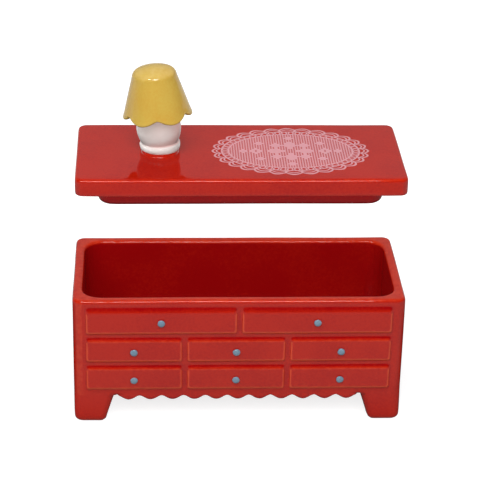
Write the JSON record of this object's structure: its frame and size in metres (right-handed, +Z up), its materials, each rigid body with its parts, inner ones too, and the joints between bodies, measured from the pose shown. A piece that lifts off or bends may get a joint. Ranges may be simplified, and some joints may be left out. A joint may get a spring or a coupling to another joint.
{
  "type": "trinket box",
  "caption": "Glazed ceramic trinket box shaped as a low chest of drawers, with a scalloped apron, bracket feet and a lift-off lid that has a small table lamp for its handle.",
  "frame": {"origin": "on the table, under the middle of the whole box", "axes": "+Z up, +X along the width to the right of someone facing the drawers, the drawers face -Y"},
  "size_m": [0.15, 0.068, 0.162],
  "materials": {
    "red_glaze": "gloss",
    "white_glaze": "gloss",
    "yellow_glaze": "gloss",
    "blue_glaze": "gloss",
    "pink_transfer": "gloss"
  },
  "bodies": {
    "chest": {"chest_body": "red_glaze", "knob_top_left": "blue_glaze", "knob_top_right": "blue_glaze", "knob_middle_left": "blue_glaze", "knob_middle_centre": "blue_glaze", "knob_middle_right": "blue_glaze", "knob_bottom_left": "blue_glaze", "knob_bottom_centre": "blue_glaze", "knob_bottom_right": "blue_glaze"},
    "cover": {"lid": "red_glaze", "lamp_base": "white_glaze", "lamp_shade": "yellow_glaze", "lace_doily": "pink_transfer"}
  },
  "joints": [
    {"name": "lid_lift", "type": "slide", "parent": "chest", "child": "cover", "axis": [0, 0, 1], "range_m": [-0.05, 0]}
  ]
}
